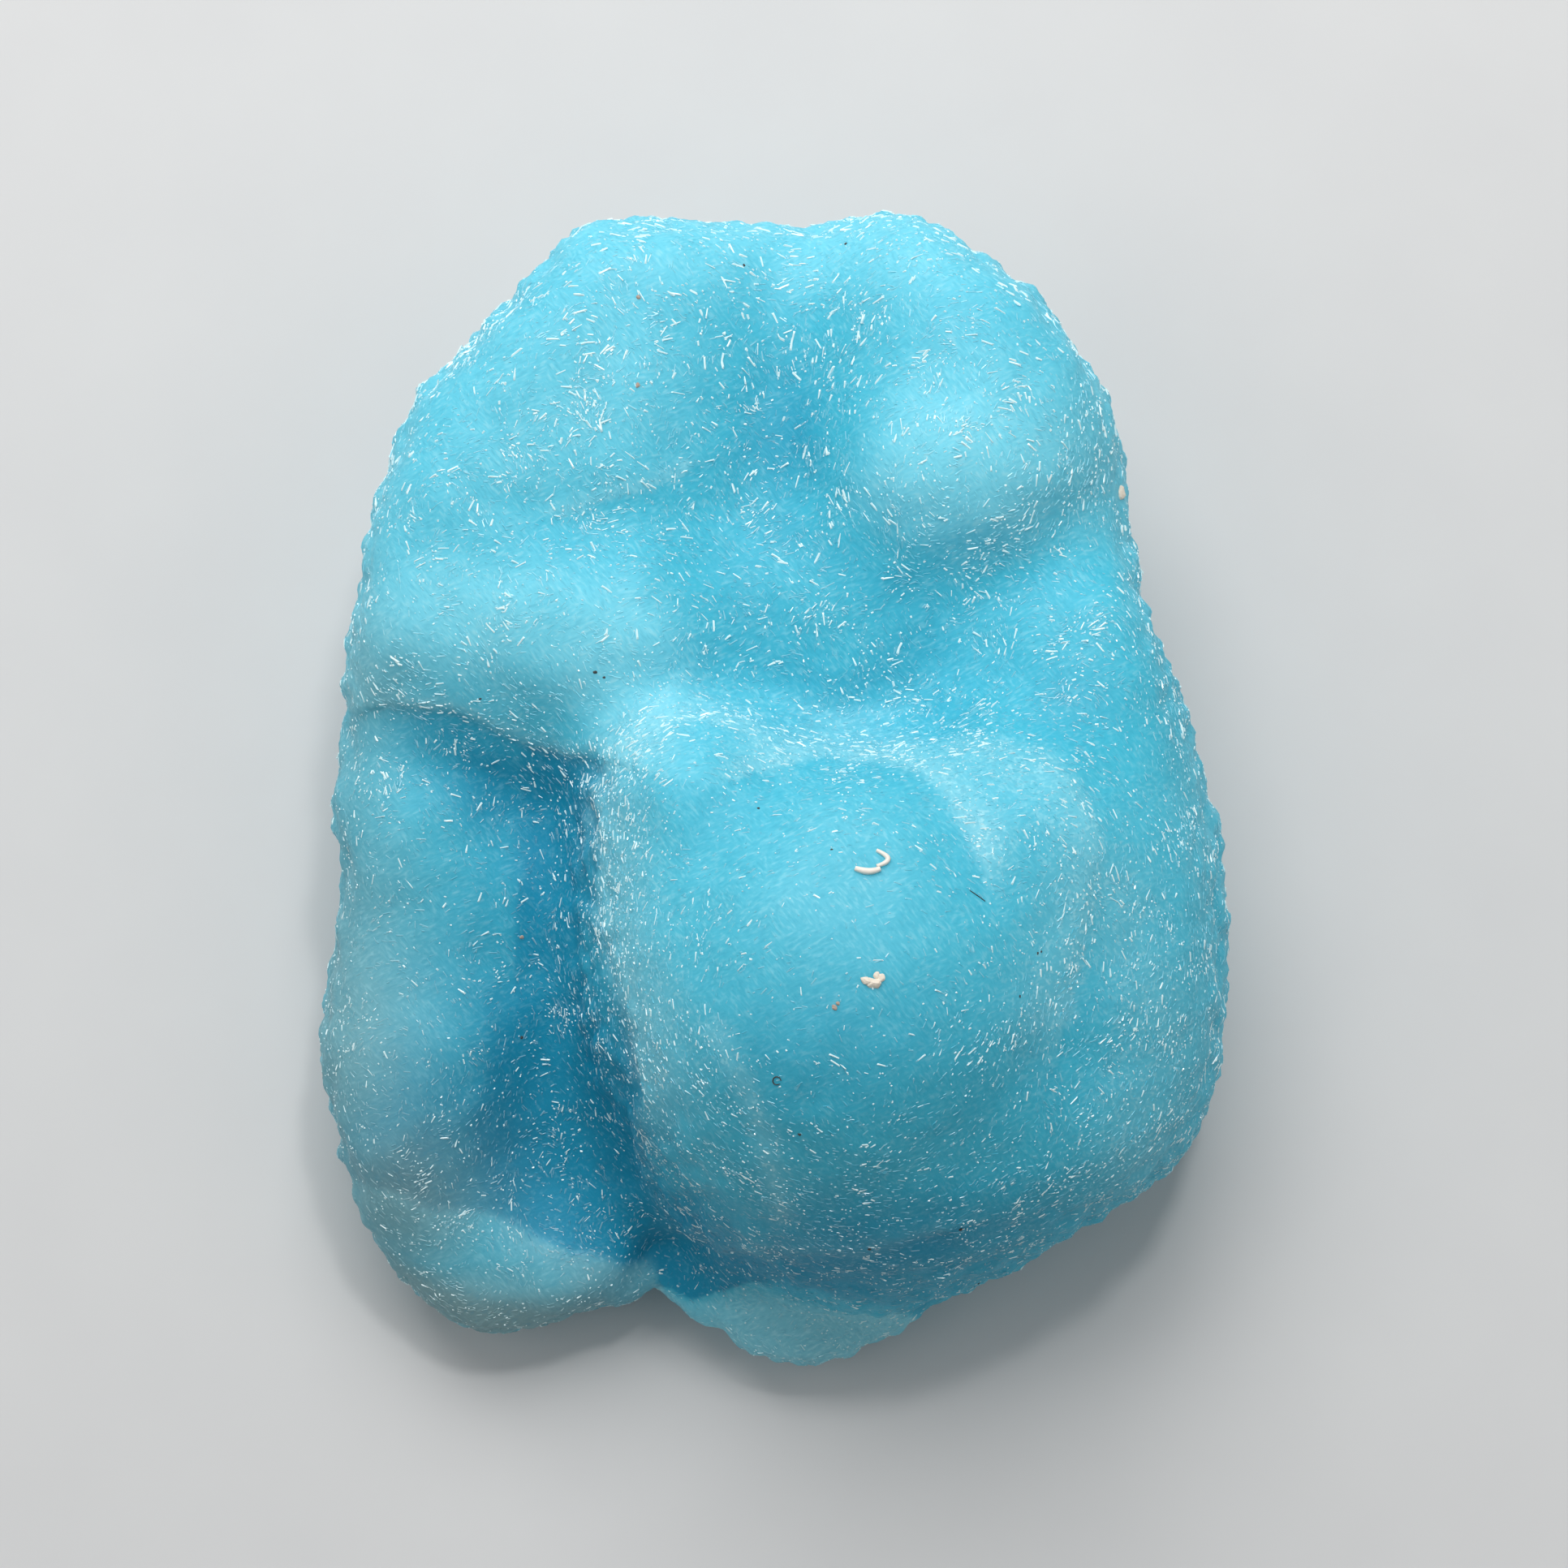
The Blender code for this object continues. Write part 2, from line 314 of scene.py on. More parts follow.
def meshCopy(node):
    # the solid's own mesh, welded and in place
    copy = bmesh.new()
    copy.from_mesh(node.data)
    copy.transform(node.matrix_world)
    bmesh.ops.remove_doubles(copy, verts=copy.verts, dist=1e-6)
    mesh = bpy.data.meshes.new("stoneSkin")
    copy.to_mesh(mesh)
    copy.free()
    return mesh


def evened(values, pairs, rounds):
    # averages a value along the mesh's edges
    a, b = pairs
    count = len(values)
    neighbours = np.bincount(a, minlength=count) + np.bincount(b, minlength=count)
    for _ in range(rounds):
        total = np.bincount(a, values[b], count) + np.bincount(b, values[a], count)
        values = 0.5 * values + 0.5 * total / neighbours
    return values


def smoothStep(values, low, high):
    share = np.clip((values - low) / (high - low), 0, 1)
    return share * share * (3 - 2 * share)


def relief(points, size):
    # soft lumps between -1 and 1
    return np.array([noise.noise(Vector(point)) for point in points / size])


def knobs(points, size):
    # rounded knobs, 1 at their tops and 0 between them
    return np.array([max(0.0, 1 - noise.voronoi(Vector(point))[0][0]) for point in points / size])


def skyRays(count):
    # directions over a half sphere about +Z, even in the light they bring
    turn = math.pi * (3 - math.sqrt(5))
    rays = []
    for index in range(count):
        share = (index + 0.5) / count
        wide = math.sqrt(share)
        high = math.sqrt(1 - share)
        rays.append(Vector((wide * math.cos(index * turn), wide * math.sin(index * turn), high)))
    return rays


def measureLight(mesh, points, normals, pairs):
    # how open each place is to the sky, and how thick the stone is under it
    tree = BVHTree.FromPolygons(points.tolist(), [tuple(face.vertices) for face in mesh.polygons])
    rays = skyRays(skin["rays"])
    openness = np.empty(len(points))
    thickness = np.full(len(points), skin["thickest"])
    for index, (point, normal) in enumerate(zip(points, normals)):
        here = Vector(point)
        out = Vector(normal)
        turn = out.to_track_quat("Z", "Y")
        start = here + out * skin["offSkin"]
        free = sum(tree.ray_cast(start, turn @ ray, skin["reach"])[0] is None for ray in rays)
        openness[index] = free / len(rays)
        far = tree.ray_cast(here - out * skin["underSkin"], -out, skin["thickest"])[3]
        if far is not None:
            thickness[index] = far
    return evened(openness, pairs, skin["openRounds"]), evened(thickness, pairs, skin["thickRounds"])


def onDisplay(points, normals):
    # where the viewer sees each point, its level above the display face, its turn, and if it faces the viewer
    back = np.array(display.inverted())
    local = (points @ back[:3, :3].T + back[:3, 3]) / mm
    level = local[:, 2]
    aim = np.array(stage["aim"][:2]) / mm
    reach = stage["distance"] / mm
    seen = aim + (local[:, :2] - aim) * (reach / (reach - level))[:, None]
    turned = normals @ outward
    facing = smoothStep(turned, *viewerSide["turned"]) * smoothStep(level, *viewerSide["level"])
    return seen, level, turned, facing


def fromLine(seen, corners):
    # distance from each place to a line of points, positive on the line's left
    nearest = np.full(len(seen), 1e9)
    signed = np.zeros(len(seen))
    for a, b in zip(corners, corners[1:]):
        start, edge = np.array(a), np.array(b) - np.array(a)
        away = seen - start
        share = np.clip(away @ edge / (edge @ edge), 0, 1)
        distance = np.linalg.norm(away - share[:, None] * edge, axis=1)
        side = np.where(edge[0] * away[:, 1] - edge[1] * away[:, 0] > 0, 1, -1)
        closer = distance < nearest
        signed = np.where(closer, side * distance, signed)
        nearest = np.minimum(nearest, distance)
    return signed


def zoned(seen, level, zones):
    # a zone that keeps to an edge stays on the low ground there
    total = np.zeros(len(seen))
    for (u, v), (wide, high), turn, strength, *keepTo in zones:
        angle = math.radians(turn)
        away = seen - (u, v)
        along = (away[:, 0] * math.cos(angle) + away[:, 1] * math.sin(angle)) / wide
        across = (away[:, 1] * math.cos(angle) - away[:, 0] * math.sin(angle)) / high
        share = strength * np.exp(-zoneShape["fade"] * (along ** 2 + across ** 2))
        for name in keepTo:
            share *= smoothStep(fromLine(seen, edges[name]), *zoneShape["edge"])
            share *= smoothStep(-level, *zoneShape["below"])
        total = np.maximum(total, share)
    return total


def frosted(seen):
    # how thickly crystals crowd at each place
    total = np.zeros(len(seen))
    for line, wide, strength in frostLines.values():
        total = np.maximum(total, strength * np.exp(-((fromLine(seen, line) / wide) ** 2)))
    for name, (left, right, strength) in frostBands.items():
        away = fromLine(seen, edges[name])
        wide = np.where(away > 0, left, right)
        total = np.maximum(total, strength * np.exp(-((away / wide) ** 2)))
    return total


def stepped(seen):
    # how far the ground rises along the ledges, and how its tint changes there, darker on the low side partly
    # as painted shade
    rise = np.zeros(len(seen))
    tint = np.zeros(len(seen))
    for name, (high, reach, change) in ledges.items():
        away = fromLine(seen, edges[name])
        far = np.abs(away)
        tintReach = reach * stepShape["tintReach"]
        rise += high * 0.5 * np.tanh(away / stepShape["ground"]) * np.exp(-far / reach)
        tint -= change * 0.5 * np.tanh(away / stepShape["tint"]) * np.exp(-far / tintReach)
    return rise, tint


def stoneBlank():
    # the solid's form as an even, softened mesh
    blank = linked("blank", meshCopy(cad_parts["hemimorphite"]))
    fuse = blank.modifiers.new("fuse", "REMESH")
    fuse.mode = "VOXEL"
    fuse.voxel_size = skin["voxel"]
    soften = blank.modifiers.new("soften", "SMOOTH")
    soften.factor = 0.5
    soften.iterations = skin["smoothRounds"]
    mesh = evaluated(blank)
    bpy.data.objects.remove(blank)
    mesh.name = "stoneSkin"
    return mesh


def surfaceLumps(points, tops, edge):
    # soft lumps and grains all over, bolder knobs and waves round the rim, each pattern shifted a little
    height = relief(points, skin["broadLumps"][0]) * skin["broadLumps"][1]
    height += relief(points + 0.03, skin["lumps"][0]) * skin["lumps"][1]
    height += (tops - 0.5) * skin["knobs"][1] + (tops - 0.7) * skin["rimKnobs"] * edge
    height += relief(points + 0.017, skin["rimWaves"][0]) * skin["rimWaves"][1] * edge
    height += (knobs(points + 0.011, skin["grains"][0]) - 0.5) * skin["grains"][1]
    return height


def creaseFills(seen, hollow):
    # raises the creases that are deeper than the real stone's
    fills = [fill * np.exp(-((fromLine(seen, edges[name]) / skin["creaseReach"]) ** 2))
             for name, fill in skin["creaseFill"].items()]
    return np.clip(hollow, *skin["creaseDepths"]) * np.max(fills, axis=0)


def notchCut(seen):
    # the notch between the corner lobe and the foot lobe
    notch = skin["notch"]
    across = np.clip(1 - np.abs(seen[:, 0] - notch["u"]) / notch["half"], 0, 1)
    return across * smoothStep(-seen[:, 1], *notch["levels"]) * notch["deep"]


def dressStone():
    mesh = stoneBlank()
    points = readVectors(mesh.vertices, "co")
    normals = readVectors(mesh.vertex_normals, "vector")
    ends = np.empty(len(mesh.edges) * 2, np.int32)
    mesh.edges.foreach_get("vertices", ends)
    pairs = (ends[0::2], ends[1::2])
    openness, thickness = measureLight(mesh, points, normals, pairs)
    worn = np.stack([evened(points[:, axis], pairs, skin["hollowRounds"]) for axis in range(3)], axis=1)
    hollow = ((worn - points) * normals).sum(axis=1) / mm
    thin, fade = skin["thinRim"]
    seen, level, turned, facing = onDisplay(points, normals)
    edge = smoothStep(skin["rimTurn"] - np.abs(turned), 0, skin["rimBlend"])
    size, far = skin["wander"]
    wander = np.stack([relief(points + shift, size) for shift in (0.2, 0.3)], axis=1) * far
    rise, tint = stepped(seen + wander)
    tops = knobs(points, skin["knobs"][0])
    height = surfaceLumps(points, tops, edge) + (rise * mm + creaseFills(seen, hollow)) * facing
    flat, blend = skin["settle"]
    settled = np.clip((points[:, 2] - flat) / blend, 0, 1)
    moved = points + normals * (height * settled)[:, None] + notchCut(seen)[:, None] * upward
    moved[:, 2] = np.where(points[:, 2] < flat, 0, np.maximum(moved[:, 2], 0))
    mesh.vertices.foreach_set("co", moved.astype(np.float32).ravel())
    # painted shade that deepens towards the foot
    low = np.clip(-seen[:, 1], 0, lowShade["down"]) * lowShade["share"]
    readings = {
        "openness": openness,
        "hollow": hollow,
        # painted light: paler where the rim is thin and light shines through, and on the rim's knob tops
        "rim": np.clip(1 - (thickness - thin) / fade, 0, 1),
        "knob": tops * edge,
        # partly own tint, partly painted shade and painted light
        "depth": (zoned(seen, level, deepAndShadeZones) - zoned(seen, level, paleAndLitZones) + tint + low) * facing,
        "green": zoned(seen, level, greenZones) * (0.4 + 0.6 * facing),
        "frost": frosted(seen + wander) * facing,
        "calm": zoned(seen, level, calmZones) * facing,
    }
    for name, values in readings.items():
        addReading(mesh, name, values)
    mesh.shade_smooth()
    mesh.update()
    print("stone skin:", len(mesh.polygons), "faces")
    return linked("stoneSkin", mesh), readings


stoneColour = {
    "deep": (0.004, 0.265, 0.435),
    "body": (0.056, 0.495, 0.665),
    "pale": (0.195, 0.700, 0.860),
    "green": (0.230, 0.338, 0.336),
    "frost": (0.460, 0.830, 0.900),
    # glint is the white of painted glints on the blades
    "glint": (0.820, 1.000, 1.000),
    "glow": 2.6 * mm,
}
# How much each reading deepens or pales the tint, much of it painted shade and painted light, and where pale
# turns to body and body to deep.
tintShares = {
    "closed": 0.95, "hollow": 0.18, "depth": 0.75, "patches": 0.3, "rim": 0.4, "knob": 0.2, "green": 0.85,
}
tintRanges = {"body": (-0.75, 0.2), "deep": (0.1, 1.1)}
# Fine strands in the crust: how wide, their two ways, how much longer than wide, and the patches of each way.
felt = {
    "wide": 0.17 * mm, "ways": (0.7, 2.0), "longer": (1, 3.5, 1.7), "patch": 2.2 * mm, "deep": 0.06 * mm,
    "paleRange": (0.5, 0.75), "pale": 0.22, "lessInDeep": 0.14, "darkRange": (0.5, 0.25), "dark": 0.18,
}
# Sugary specks and the frosty veil: the share everywhere, and what full frost adds.
sugar = {"size": 0.30 * mm, "range": (0.52, 0.74), "share": 0.08, "frost": 0.9, "veil": (0.25, 0.4)}


def stoneTint(finish):
    # painted shade and painted light laid over the stone's own tints; grey-green low down is the stone's own
    # tint
    patches = finish.clouds(2.4 * mm, 3, 0.6)
    # painted shade: deeper blue where the sky is hidden and in the hollows
    shadeAndTintLevel = tintShares["closed"] * (1 - finish.reading("openness"))
    shadeAndTintLevel = shadeAndTintLevel + tintShares["hollow"] * finish.reading("hollow")
    # the zones, the ledge steps and the foot: partly own tint, partly painted shade and painted light
    shadeAndTintLevel = shadeAndTintLevel + tintShares["depth"] * finish.reading("depth")
    shadeAndTintLevel = shadeAndTintLevel + tintShares["patches"] * (patches - 0.5)
    # painted light: paler on the thin rim, where light shines through, and on the rim's knob tops
    shadeAndTintLevel = shadeAndTintLevel - tintShares["rim"] * finish.reading("rim") - tintShares["knob"] * finish.reading("knob")
    colour = finish.mixed(finish.between(shadeAndTintLevel, *tintRanges["body"]), stoneColour["pale"], stoneColour["body"])
    colour = finish.mixed(finish.between(shadeAndTintLevel, *tintRanges["deep"]), colour, stoneColour["deep"])
    colour = finish.mixed(tintShares["green"] * finish.reading("green"), colour, stoneColour["green"])
    return colour, patches


def feltStrands(finish):
    # fine strands that run one way in some patches and the other way in the rest
    combed = []
    for turn in felt["ways"]:
        strands = finish.node("ShaderNodeMapping", {"vector_type": "TEXTURE"},
                              {"Vector": finish.place(), "Rotation": (0, 0, turn), "Scale": felt["longer"]})
        combed.append(finish.clouds(felt["wide"], 1, place=strands))
    swirl = finish.between(finish.clouds(felt["patch"], 1), 0.44, 0.56)
    return combed[0] + (combed[1] - combed[0]) * swirl


def stoneFinish():
    finish = Finish("hemimorphite", {
        "IOR": 1.6, "Specular IOR Level": 0.2, "Subsurface Weight": 0.5,
        "Subsurface Scale": stoneColour["glow"], "Subsurface Radius": (0.4, 0.85, 1.0),
    })
    finish.shader.subsurface_method = "BURLEY"
    colour, patches = stoneTint(finish)
    strands = feltStrands(finish)
    paleShare = felt["pale"] - felt["lessInDeep"] * finish.reading("depth")
    paleStrands = finish.between(strands, *felt["paleRange"]) * paleShare
    colour = finish.mixed(paleStrands, colour, stoneColour["frost"])
    darkStrands = felt["dark"] * finish.between(strands, *felt["darkRange"])
    colour = finish.mixed(darkStrands, colour, stoneColour["deep"])
    least, more = sugar["veil"]
    veil = finish.reading("frost") * (least + more * patches)
    colour = finish.mixed(veil, colour, stoneColour["frost"])
    specks = finish.between(finish.clouds(sugar["size"], 1, 0.7), *sugar["range"])
    specks = specks * (sugar["share"] + sugar["frost"] * finish.reading("frost"))
    colour = finish.mixed(specks, colour, stoneColour["frost"])
    finish.feed("Base Color", colour)
    finish.feed("Roughness", 0.42 + 0.2 * patches)
    finish.feed("Normal", finish.bumped(strands, 0.3, felt["deep"]))
    return finish


stonePiece, stoneReadings = dressStone()
asPiece(stonePiece, stoneFinish(), ["hemimorphite"])


# the skin of tiny crystal blades

# Long, wide and thick are in millimetres, tilt in degrees and swing in radians; the share of white is a
# painted glint on the glint blades, and partly pale crystal, partly painted light on the others.
# Gather is how strongly the blades crowd in patches, and rise how much more there is of them towards the top.
blades = {
    "glintBlades": {
        "count": 6800, "seed": 11, "long": (0.10, 0.72), "wide": (0.05, 0.13), "thick": (0.05, 0.09),
        "tilt": 16, "swing": 0.28, "glintAndPaleShare": (0.75, 1.0), "gather": 1.0, "rise": 0.45,
    },
    "glintDust": {
        "count": 9000, "seed": 17, "long": (0.07, 0.18), "wide": (0.05, 0.12), "thick": (0.04, 0.08),
        "tilt": 24, "swing": 0.6, "glintAndPaleShare": (0.45, 1.0), "gather": 0.9, "rise": -0.1,
    },
    "paleBlades": {
        "count": 16000, "seed": 23, "long": (0.16, 0.60), "wide": (0.05, 0.11), "thick": (0.02, 0.05),
        "tilt": 7, "swing": 0.25, "glintAndPaleShare": (0.04, 0.30), "gather": 0.4, "rise": 0.1,
    },
    "fineBlades": {
        "count": 16000, "seed": 29, "long": (0.14, 0.50), "wide": (0.05, 0.10), "thick": (0.02, 0.04),
        "tilt": 7, "swing": 0.25, "glintAndPaleShare": (0.03, 0.20), "gather": 0.2, "rise": 0,
    },
}
sowing = {
    "patches": ((1.9, 3.0 * mm, 0.05), (1.6, 1.1 * mm, 0.09)),  # strength, size and shift of both patterns
    "frost": 7,  # how much thicker blades stand in full frost
    "tall": 30 * mm,  # half the stone's height, over which the share of blades rises
    "bare": 0.3 * mm,  # none this near to the rest
    "under": (-0.2, 0.35),  # fewer on ground that faces down
    "spread": (2.4, 1.3, 1),  # small sizes are commoner in length and in width
}
# One blade: its roof's share of length and width, its growth towards the top of the stone, how far its middle
# stands off the ground as a share of its thickness, and the share of its tilt that lifts an end.
bladeForm = {"roof": (0.72, 0.45), "grow": 0.5, "sit": 0.1, "lift": 0.6}
# How blades lie on flat ground: the most they turn, the size of a patch, and what counts as flat.
flatLay = {"turn": 3.0, "patch": 2.4 * mm, "flat": (0.75, 0.97)}


def bladeShape():
    # one blade along X, with its roof narrower than its foot
    blade = bmesh.new()
    bmesh.ops.create_cube(blade, size=1)
    for point in blade.verts:
        if point.co.z > 0:
            point.co.x *= bladeForm["roof"][0]
            point.co.y *= bladeForm["roof"][1]
    corners = np.array([point.co for point in blade.verts])
    faces = np.array([[point.index for point in face.verts] for face in blade.faces])
    blade.free()
    return corners, faces


def sowBlades(kind, mesh, readings, chance):
    # a spot for each blade, crowded in patches and along the frosty bands, and few on calm ground
    mesh.calc_loop_triangles()
    points = readVectors(mesh.vertices, "co")
    normals = readVectors(mesh.vertex_normals, "vector")
    corners = np.empty(len(mesh.loop_triangles) * 3, np.int32)
    mesh.loop_triangles.foreach_get("vertices", corners)
    corners = corners.reshape(-1, 3)
    a, b, c = (points[corners[:, index]] for index in range(3))
    across = np.cross(b - a, c - a)
    area = np.linalg.norm(across, axis=1)
    facing = across[:, 2] / np.maximum(area, 1e-12)
    patches = sum(strength * relief(points + shift, size) for strength, size, shift in sowing["patches"])
    crowd = np.exp(patches)
    crowd = 1 + (crowd - 1 + sowing["frost"] * readings["frost"] ** 1.5) * kind["gather"]
    height = np.clip(points @ upward / sowing["tall"], -1, 1)
    area = area * (crowd * (1 - readings["calm"]) * (1 + kind["rise"] * height))[corners[:, 0]]
    area = area * np.where((a[:, 2] + b[:, 2] + c[:, 2]) / 3 < sowing["bare"], 0, 1)
    area = area * np.where(facing < sowing["under"][0], sowing["under"][1], 1)
    chosen = chance.choice(len(area), kind["count"], p=area / area.sum())
    s, t = chance.random((2, kind["count"]))
    flip = s + t > 1
    s, t = np.where(flip, 1 - s, s), np.where(flip, 1 - t, t)
    shares = np.stack([1 - s - t, s, t], axis=1)[:, :, None]
    ups = (normals[corners[chosen]] * shares).sum(axis=1)
    ups /= np.linalg.norm(ups, axis=1)[:, None]
    nearest = corners[chosen, 0]
    return (points[corners[chosen]] * shares).sum(axis=1), ups, nearest, height[nearest]


def turnBlades(kind, spots, ups, chance):
    # blades follow the level lines round the lobes on steep ground, and lie in patches where it is flat
    along = np.cross(outward, ups)
    along /= np.maximum(np.linalg.norm(along, axis=1), 1e-6)[:, None]
    flat = smoothStep(ups @ outward, *flatLay["flat"])
    patch = flatLay["turn"] * relief(spots + 0.07, flatLay["patch"]) * flat
    swing = (patch + chance.normal(0, kind["swing"], len(spots)))[:, None]
    along = along * np.cos(swing) + np.cross(ups, along) * np.sin(swing)
    side = np.cross(ups, along)
    lift = np.radians(chance.normal(0, kind["tilt"] * bladeForm["lift"], len(spots)))[:, None]
    roll = np.radians(chance.normal(0, kind["tilt"], len(spots)))[:, None]
    along, ups = along * np.cos(lift) + ups * np.sin(lift), ups * np.cos(lift) - along * np.sin(lift)
    side, ups = side * np.cos(roll) + ups * np.sin(roll), ups * np.cos(roll) - side * np.sin(roll)
    return along, side, ups


def growBlades(name, kind, stone, readings, finish):
    chance = np.random.default_rng(kind["seed"])
    spots, ups, nearest, height = sowBlades(kind, stone.data, readings, chance)
    along, side, ups = turnBlades(kind, spots, ups, chance)
    spread = chance.random((kind["count"], 3)) ** sowing["spread"]
    low, high = (np.array([kind[way][end] for way in ("long", "wide", "thick")]) for end in (0, 1))
    sizes = (low + (high - low) * spread) * (1 + bladeForm["grow"] * kind["rise"] * height)[:, None] * mm
    shape, faces = bladeShape()
    local = shape[None, :, :] * sizes[:, None, :]
    turned = sum(local[:, :, axis, None] * way[:, None, :] for axis, way in enumerate((along, side, ups)))
    placed = turned + (spots + ups * sizes[:, 2, None] * bladeForm["sit"])[:, None, :]
    allFaces = (faces[None, :, :] + np.arange(kind["count"])[:, None, None] * len(shape)).reshape(-1, 4)
    grown = bpy.data.meshes.new(name)
    grown.from_pydata(placed.reshape(-1, 3).tolist(), [], allFaces.tolist())
    own = {title: values[nearest] for title, values in readings.items()}
    own["glintAndPaleShare"] = chance.uniform(*kind["glintAndPaleShare"], kind["count"])
    for title, values in own.items():
        addReading(grown, title, np.repeat(values, len(shape)))
    asPiece(linked(name, grown), finish)
    print(name + ":", kind["count"], "blades")


def bladeFinish():
    finish = Finish("crystalBlades", {"IOR": 1.62})
    colour, patches = stoneTint(finish)
    # painted glint: each blade is mixed towards white by its share, over the painted shade of the stone's
    # tint
    finish.feed("Base Color", finish.mixed(finish.reading("glintAndPaleShare"), colour, stoneColour["glint"]))
    finish.feed("Roughness", 0.12 + 0.2 * patches)
    return finish


bladeLook = bladeFinish()
for bladeName, bladeKind in blades.items():
    growBlades(bladeName, bladeKind, stonePiece, stoneReadings, bladeLook)


# small things caught on the stone

# Lines and spots are (u, v) as the viewer sees them, with radii in millimetres.
flecks = {
    "fibre": {"lines": [[(4.7, -4.5), (5.1, -4.65), (5.7, -4.7), (6.1, -4.55)],
                        [(5.9, -3.5), (6.3, -3.7), (6.6, -4.0), (6.3, -4.3), (5.9, -4.4)]],
              "thick": (0.21, 0.15), "lift": 0.1 * mm},
    "cream": [((5.35, -10.75), 0.30), ((5.75, -10.85), 0.36), ((6.15, -10.6), 0.26), ((5.9, -10.4), 0.2),
              ((19.5, 16.5), 0.42)],
    "rust": [((3.55, -12.2), 0.17), ((3.75, -12.0), 0.12), ((-7.4, 27.4), 0.15), ((-7.4, 22.5), 0.15),
             ((-13.9, -8.3), 0.13)],
    "dark": [((4.2, 30.4), 0.1), ((-1.5, 29.2), 0.09), ((-9.8, 6.5), 0.13), ((-13.9, -13.9), 0.1),
             ((1.6, -19.3), 0.1), ((5.5, -25.7), 0.12), ((10.6, -24.6), 0.12), ((11.6, -27.6), 0.1),
             ((-0.7, -1.1), 0.08), ((3.4, -3.4), 0.07), ((14.9, -9.2), 0.08), ((15.1, -9.1), 0.07),
             ((-9.3, 6.2), 0.09), ((-16.2, 5.0), 0.07), ((13.9, -11.6), 0.08)],
    "hair": [(11.1, -5.7), (11.5, -5.95), (11.95, -6.3)],
    "ring": {"centre": (0.35, -16.3), "radius": 0.24, "corners": 8},
    "hairs": {"thick": (0.035, 0.04), "lift": 0.02 * mm},
    "crumb": {"narrow": 0.8, "swell": 0.5, "lump": 0.9},
    "strand": {"curl": 1.2, "taper": 0.35},
}


def groundTree(piece):
    mesh = piece.data
    return BVHTree.FromPolygons([point.co for point in mesh.vertices],
                                [tuple(face.vertices) for face in mesh.polygons])


def spotOn(tree, u, v):
    # the place on the stone that the camera sees at (u, v) on the display face, and the way the ground faces
    eye = display @ cameraPlace()
    way = (display @ Vector((u * mm, v * mm, 0)) - eye).normalized()
    return tree.ray_cast(eye, way)[:2]


def strand(tree, name, lines, thick, lift):
    # a fine thread that lies on the ground along each line
    data = bpy.data.curves.new(name, "CURVE")
    data.dimensions = "3D"
    data.bevel_depth = 1
    data.bevel_resolution = 2
    data.use_fill_caps = True
    for line, radius in zip(lines, thick):
        spots = [spotOn(tree, u, v) for u, v in line]
        thread = data.splines.new("NURBS")
        thread.points.add(len(spots) - 1)
        for index, (place, facing) in enumerate(spots):
            height = lift * (1 + flecks["strand"]["curl"] * (index / len(spots)) ** 2)
            fromMiddle = abs(2 * index / (len(spots) - 1) - 1)
            thread.points[index].co = (*(place + facing * height), 1)
            thread.points[index].radius = radius * mm * (1 - flecks["strand"]["taper"] * fromMiddle)
        thread.order_u = 3
        thread.use_endpoint_u = True
        thread.resolution_u = 6
    mould = linked(name + "Mould", data)
    mesh = evaluated(mould)
    bpy.data.objects.remove(mould)
    mesh.name = name
    mesh.shade_smooth()
    return linked(name, mesh)


def ringLine(centre, radius, corners):
    # an open ring of points
    turns = [index / corners * 2 * math.pi for index in range(corners)]
    return [(centre[0] + radius * math.cos(turn), centre[1] + radius * math.sin(turn)) for turn in turns]


def crumbs(tree, name, spots, flat):
    # uneven crumbs that sit in the crust
    look = flecks["crumb"]
    joined = bmesh.new()
    for index, ((u, v), radius) in enumerate(spots):
        place, facing = spotOn(tree, u, v)
        turn = facing.to_track_quat("Z", "Y").to_matrix().to_4x4()
        size = Matrix.Diagonal((radius * mm, radius * mm * look["narrow"], radius * mm * flat, 1))
        made = bmesh.ops.create_icosphere(joined, subdivisions=2, radius=1,
                                          matrix=Matrix.Translation(place) @ turn @ size)
        for point in made["verts"]:
            swell = noise.noise(point.co / (radius * mm * look["lump"]) + Vector((index, 0, 0)))
            point.co = place + (point.co - place) * (1 + look["swell"] * swell)
    mesh = bpy.data.meshes.new(name)
    joined.to_mesh(mesh)
    joined.free()
    return linked(name, mesh)


def grainFinish(name, light, dark, size, rough):
    finish = Finish(name, {"Roughness": rough})
    finish.feed("Base Color", finish.mixed(finish.clouds(size, 2), dark, light))
    finish.feed("Normal", finish.bumped(finish.clouds(size * 0.5, 2), 0.4, size * 0.2))
    return finish


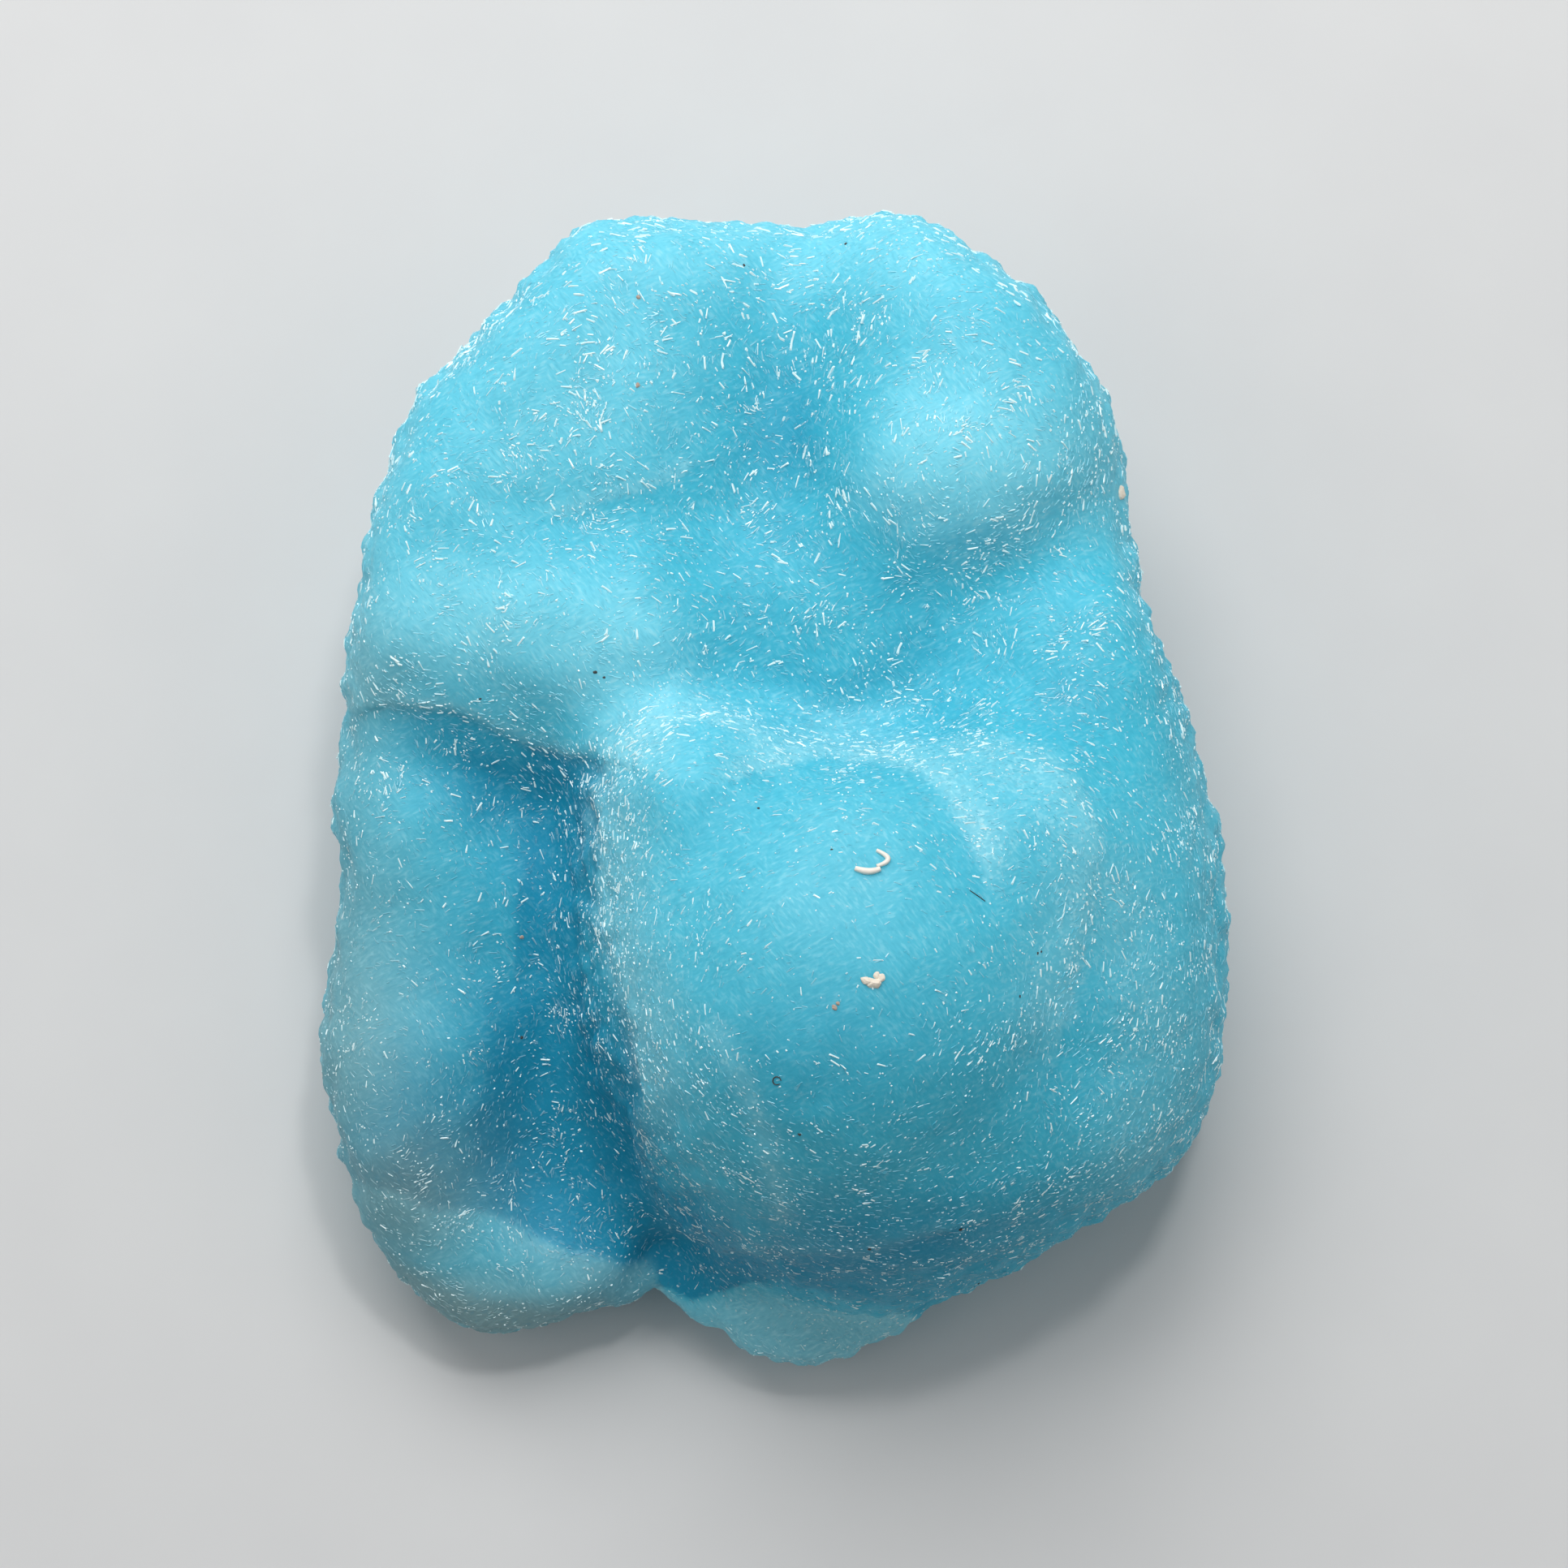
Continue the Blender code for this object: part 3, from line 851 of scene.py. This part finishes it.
stoneGround = groundTree(stonePiece)
creamLook = grainFinish("creamCrumb", (0.90, 0.85, 0.74), (0.72, 0.60, 0.47), 0.2 * mm, 0.6)
rustLook = grainFinish("rustCrumb", (0.52, 0.41, 0.34), (0.34, 0.26, 0.21), 0.15 * mm, 0.7)
darkLook = grainFinish("darkCrumb", (0.07, 0.07, 0.065), (0.02, 0.022, 0.025), 0.1 * mm, 0.6)
whiteLook = grainFinish("whiteFibre", (0.93, 0.90, 0.84), (0.78, 0.70, 0.60), 0.3 * mm, 0.5)
hairLines = [flecks["hair"], ringLine(**flecks["ring"])]
asPiece(strand(stoneGround, "whiteFibre", **flecks["fibre"]), whiteLook)
asPiece(crumbs(stoneGround, "creamCrumbs", flecks["cream"], 0.6), creamLook)
asPiece(crumbs(stoneGround, "rustCrumbs", flecks["rust"], 0.6), rustLook)
asPiece(crumbs(stoneGround, "darkCrumbs", flecks["dark"], 0.5), darkLook)
asPiece(strand(stoneGround, "darkHairs", hairLines, **flecks["hairs"]), darkLook)
print("flecks and fibres laid")


# floor, light and camera

def layFloor():
    sheet = bmesh.new()
    bmesh.ops.create_grid(sheet, x_segments=1, y_segments=1, size=stage["floor"] / 2)
    mesh = bpy.data.meshes.new("floor")
    sheet.to_mesh(mesh)
    sheet.free()
    floor = linked("floor", mesh)
    finish = Finish("paleFloor", {"Roughness": 0.7})
    finish.feed("Base Color", finish.mixed(finish.clouds(9 * mm, 4), *stage["floorTones"]))
    mesh.materials.append(finish.material)


def hangLamps():
    for name, lamp in stage["lamps"].items():
        light = bpy.data.lights.new(name, "AREA")
        light.size = lamp["size"]
        light.energy = lamp["watts"]
        holder = linked(name, light)
        holder.location = display @ Vector(lamp["place"])
        away = holder.location - Vector((0, 0, layout["restDepth"]))
        holder.rotation_euler = away.to_track_quat("Z", "Y").to_euler()
    world = bpy.data.worlds.new("studio")
    world.use_nodes = True
    sky = world.node_tree.nodes["Background"]
    sky.inputs["Color"].default_value = stage["skyTone"]
    sky.inputs["Strength"].default_value = stage["sky"]
    bpy.context.scene.world = world


def setCamera():
    lens = bpy.data.cameras.new("camera")
    lens.lens = stage["lens"]
    lens.clip_start = 0.01
    camera = linked("camera", lens)
    camera.matrix_world = display @ Matrix.Translation(cameraPlace())
    bpy.context.scene.camera = camera


layFloor()
hangLamps()
setCamera()
bpy.context.scene.view_settings.view_transform = "Standard"
print("stage set")
